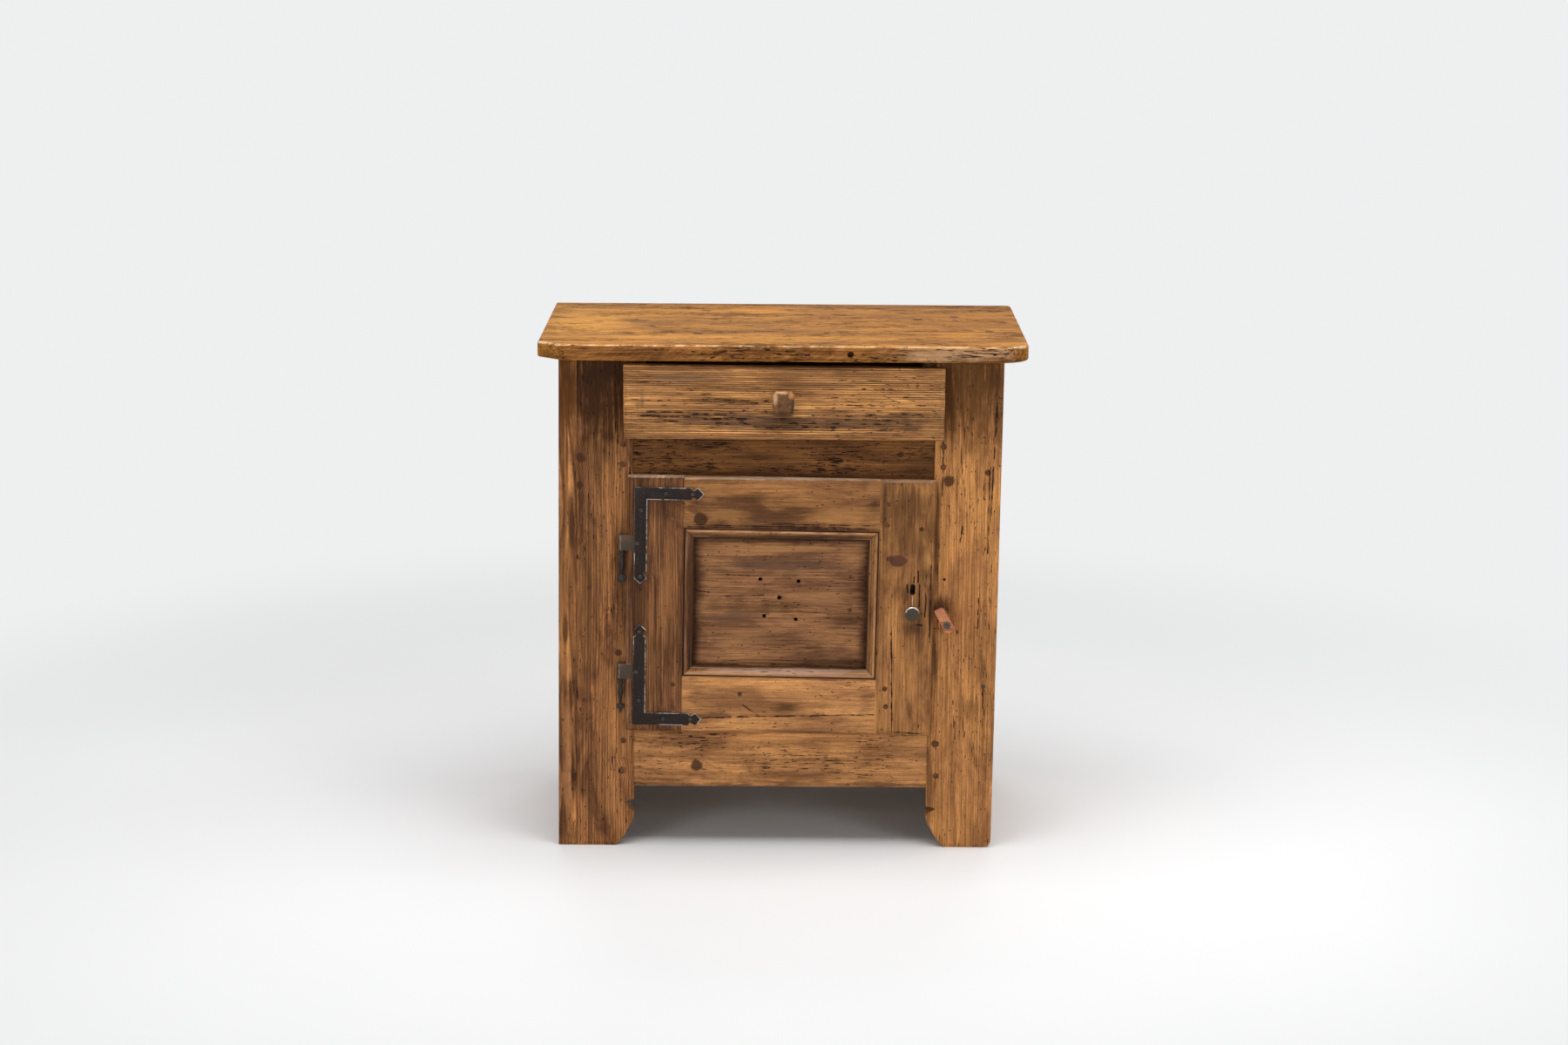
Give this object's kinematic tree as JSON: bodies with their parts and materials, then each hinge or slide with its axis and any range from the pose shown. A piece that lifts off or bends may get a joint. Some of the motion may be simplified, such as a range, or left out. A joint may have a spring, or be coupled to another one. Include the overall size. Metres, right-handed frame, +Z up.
{
  "type": "storage cabinet",
  "caption": "Rustic pine cabinet with an overlay drawer above a framed and panelled door on rat-tail strap hinges, a turn button and a plank top, on shaped feet.",
  "frame": {"origin": "on the floor, below the centre of the bounding box", "axes": "+X to the right as seen from the front, +Y to the back, +Z up; the door and drawer face -Y"},
  "size_m": [0.745, 0.4704, 0.792],
  "materials": {
    "top_pine": "waxed, worn satin",
    "case_pine": "waxed",
    "frame_pine": "waxed, worn satin",
    "inner_pine": "sawn, unfinished",
    "drawer_pine": "waxed, weathered grain",
    "door_pine": "waxed, worn satin",
    "peg_wood": "waxed end grain",
    "dark_wood": "waxed",
    "button_wood": "rubbed",
    "black_iron": "wrought, oiled black",
    "brown_iron": "wrought, rusted brown",
    "pull_iron": "worn grey",
    "lock_steel": "dull",
    "screw_steel": "dull zinc"
  },
  "bodies": {
    "carcass": {"top_board": "top_pine", "left_side_board": "case_pine", "right_side_board": "case_pine", "left_stile": "frame_pine", "right_stile": "frame_pine", "drawer_rail": "frame_pine", "apron": "frame_pine", "back_board_left": "inner_pine", "back_board_middle": "inner_pine", "back_board_right": "inner_pine", "cupboard_floor": "inner_pine", "rear_rail": "inner_pine", "drawer_runner_left": "inner_pine", "drawer_runner_right": "inner_pine", "drawer_guide_left": "inner_pine", "drawer_guide_right": "inner_pine", "kicker_left": "inner_pine", "kicker_right": "inner_pine", "carcass_pegs": "peg_wood", "kicker_screws": "screw_steel", "edge_screw": "brown_iron", "stile_nail": "brown_iron", "turn_button_screw": "screw_steel", "pintle_upper": "black_iron", "pintle_lower": "black_iron", "pintle_nails": "black_iron"},
    "drawer": {"drawer_front": "drawer_pine", "drawer_side_left": "inner_pine", "drawer_side_right": "inner_pine", "drawer_back": "inner_pine", "drawer_bottom": "inner_pine", "drawer_knob": "dark_wood"},
    "door": {"door_hinge_stile": "door_pine", "door_lock_stile": "door_pine", "door_top_rail": "door_pine", "door_bottom_rail": "door_pine", "door_panel": "door_pine", "door_pegs": "peg_wood", "door_patch": "dark_wood", "strap_upper": "black_iron", "strap_lower": "black_iron", "leaf_upper": "brown_iron", "leaf_lower": "brown_iron", "strap_nails": "black_iron", "door_pull": "pull_iron", "lock_case": "lock_steel", "lock_screws": "screw_steel"},
    "turn_button": {"turn_button": "button_wood"},
    "lock_bolt": {"lock_bolt": "lock_steel"}
  },
  "joints": [
    {"name": "drawer_slide", "type": "slide", "parent": "carcass", "child": "drawer", "axis": [0, -1, 0], "range_m": [0, 0.28]},
    {"name": "door_hinge", "type": "hinge", "parent": "carcass", "child": "door", "pos_m": [-0.24568, -0.2006, 0.3888], "axis": [-0.0131, 0, -0.9999], "range_deg": [0, 165]},
    {"name": "turn_button_pivot", "type": "hinge", "parent": "carcass", "child": "turn_button", "pos_m": [0.25372, -0.2048, 0.36169], "axis": [0, -1, 0], "continuous": true},
    {"name": "lock_bolt_throw", "type": "slide", "parent": "door", "child": "lock_bolt", "axis": [0.9999, 0, -0.0131], "range_m": [0, 0.014]}
  ]
}
